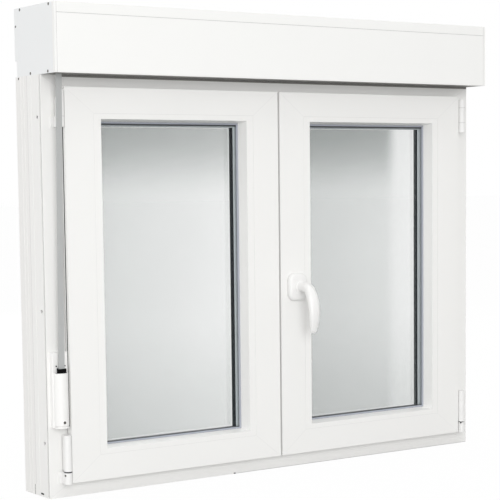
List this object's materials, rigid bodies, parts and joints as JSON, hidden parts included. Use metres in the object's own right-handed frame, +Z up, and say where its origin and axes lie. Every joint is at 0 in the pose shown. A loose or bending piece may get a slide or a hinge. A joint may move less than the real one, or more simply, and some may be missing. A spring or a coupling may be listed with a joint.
{
  "type": "window with roller shutter",
  "caption": "White plastic window with a side-hung leaf, a tilt-and-turn leaf with a lever handle, and a belt-driven roller shutter in a box on top.",
  "frame": {"origin": "middle of the sill's underside, at mid length and at the frame's mid depth", "axes": "+X along the sill to the right seen from the room, +Y outdoors, +Z up"},
  "size_m": [1.2, 0.2085, 1.05],
  "materials": {
    "white_pvc": "satin",
    "white_metal": "satin",
    "black_rubber": "matte",
    "clear_glass": "polished",
    "spacer_bar": "matte",
    "zinc_steel": "galvanised",
    "belt_cloth": "woven",
    "brush_pile": "pile",
    "slat_skin": "matte",
    "spring_steel": "blued"
  },
  "bodies": {
    "window": {"frame_sill": "white_pvc", "frame_head": "white_pvc", "frame_jamb_left": "white_pvc", "frame_jamb_right": "white_pvc", "frame_steel": "zinc_steel", "frame_gasket": "black_rubber", "drain_caps": "white_pvc", "guide_left": "white_pvc", "guide_right": "white_pvc", "guide_brushes": "brush_pile", "frame_hinges": "white_metal", "frame_keeps": "zinc_steel", "box_lid": "white_pvc", "box_top": "white_pvc", "box_back": "white_pvc", "box_bottom": "white_pvc", "box_end_left": "white_pvc", "box_end_right": "white_pvc", "axle_bearings": "white_pvc", "curtain": "slat_skin", "belt": "belt_cloth", "belt_guide": "white_pvc", "winder_plate": "white_pvc", "winder_cover": "white_pvc", "cover_screws": "zinc_steel"},
    "left_leaf": {"left_leaf_stiles": "white_pvc", "left_leaf_rails": "white_pvc", "left_leaf_steel": "zinc_steel", "left_beads": "white_pvc", "left_panes": "clear_glass", "left_spacer": "spacer_bar", "left_leaf_rubber": "black_rubber", "centre_post": "white_pvc", "left_leaf_hinges": "white_metal", "post_keeps": "zinc_steel"},
    "top_bolt": {"top_edge_bolt": "zinc_steel"},
    "bottom_bolt": {"bottom_edge_bolt": "zinc_steel"},
    "pivot": {"pivot_block": "zinc_steel"},
    "right_leaf": {"right_leaf_stiles": "white_pvc", "right_leaf_rails": "white_pvc", "right_leaf_steel": "zinc_steel", "right_beads": "white_pvc", "right_panes": "clear_glass", "right_spacer": "spacer_bar", "right_leaf_rubber": "black_rubber", "right_leaf_hinge": "white_metal", "stay_track": "zinc_steel", "handle_rosette": "white_metal", "gearbox": "zinc_steel"},
    "stay": {"stay_arm": "white_metal"},
    "handle": {"handle_lever": "white_metal"},
    "stile_drive": {"stile_rod": "zinc_steel"},
    "top_drive": {"top_rod": "zinc_steel"},
    "shutter_roll": {"shutter_axle": "zinc_steel", "belt_pulley": "white_pvc", "rolled_slats": "slat_skin"},
    "shutter_end": {"bottom_slat": "slat_skin"},
    "belt_spool": {"winder_spool": "white_pvc", "belt_coil": "belt_cloth", "winder_spring": "spring_steel"}
  },
  "joints": [
    {"name": "left_turn", "type": "hinge", "parent": "window", "child": "left_leaf", "pos_m": [-0.5655, -0.052, 0.45], "axis": [0, 0, -1], "range_deg": [0, 90]},
    {"name": "top_bolt_slide", "type": "slide", "parent": "left_leaf", "child": "top_bolt", "axis": [0, 0, -1], "range_m": [0, 0.018]},
    {"name": "bottom_bolt_slide", "type": "slide", "parent": "left_leaf", "child": "bottom_bolt", "axis": [0, 0, 1], "range_m": [0, 0.018]},
    {"name": "right_turn", "type": "hinge", "parent": "window", "child": "pivot", "pos_m": [0.5655, -0.052, 0.037], "axis": [0, 0, 1], "range_deg": [0, 90]},
    {"name": "right_tilt", "type": "hinge", "parent": "pivot", "child": "right_leaf", "pos_m": [0.5655, -0.052, 0.037], "axis": [1, 0, 0], "range_deg": [0, 7.5]},
    {"name": "stay_swing", "type": "hinge", "parent": "pivot", "child": "stay", "pos_m": [0.5655, -0.052, 0.83], "axis": [0, 0, 1], "range_deg": [0, 19.2]},
    {"name": "handle_turn", "type": "hinge", "parent": "right_leaf", "child": "handle", "pos_m": [0.05, -0.064, 0.428], "axis": [0, -1, 0], "range_deg": [0, 180]},
    {"name": "stile_drive_slide", "type": "slide", "parent": "right_leaf", "child": "stile_drive", "axis": [0, 0, 1], "range_m": [0, 0.0361]},
    {"name": "top_drive_slide", "type": "slide", "parent": "right_leaf", "child": "top_drive", "axis": [-1, 0, 0], "range_m": [0, 0.0361]},
    {"name": "roll_turn", "type": "hinge", "parent": "window", "child": "shutter_roll", "pos_m": [0, 0.005, 0.977], "axis": [-1, 0, 0], "range_deg": [0, 980.64]},
    {"name": "shutter_slide", "type": "slide", "parent": "window", "child": "shutter_end", "axis": [0, 0, -1], "range_m": [0, 0.8905], "deforming": ["curtain"]},
    {"name": "spool_turn", "type": "hinge", "parent": "window", "child": "belt_spool", "pos_m": [-0.5745, -0.027, 0.215], "axis": [-1, 0, 0], "range_deg": [0, 1177.27]}
  ],
  "couplings": [
    {"joint": "stay_swing", "follows": "right_tilt", "ratio": 2.55},
    {"joint": "stile_drive_slide", "follows": "handle_turn", "m_per_rad": 0.011459},
    {"joint": "top_drive_slide", "follows": "handle_turn", "m_per_rad": 0.011459},
    {"joint": "shutter_slide", "follows": "roll_turn", "m_per_rad": 0.052},
    {"joint": "spool_turn", "follows": "roll_turn", "ratio": 1.2}
  ]
}
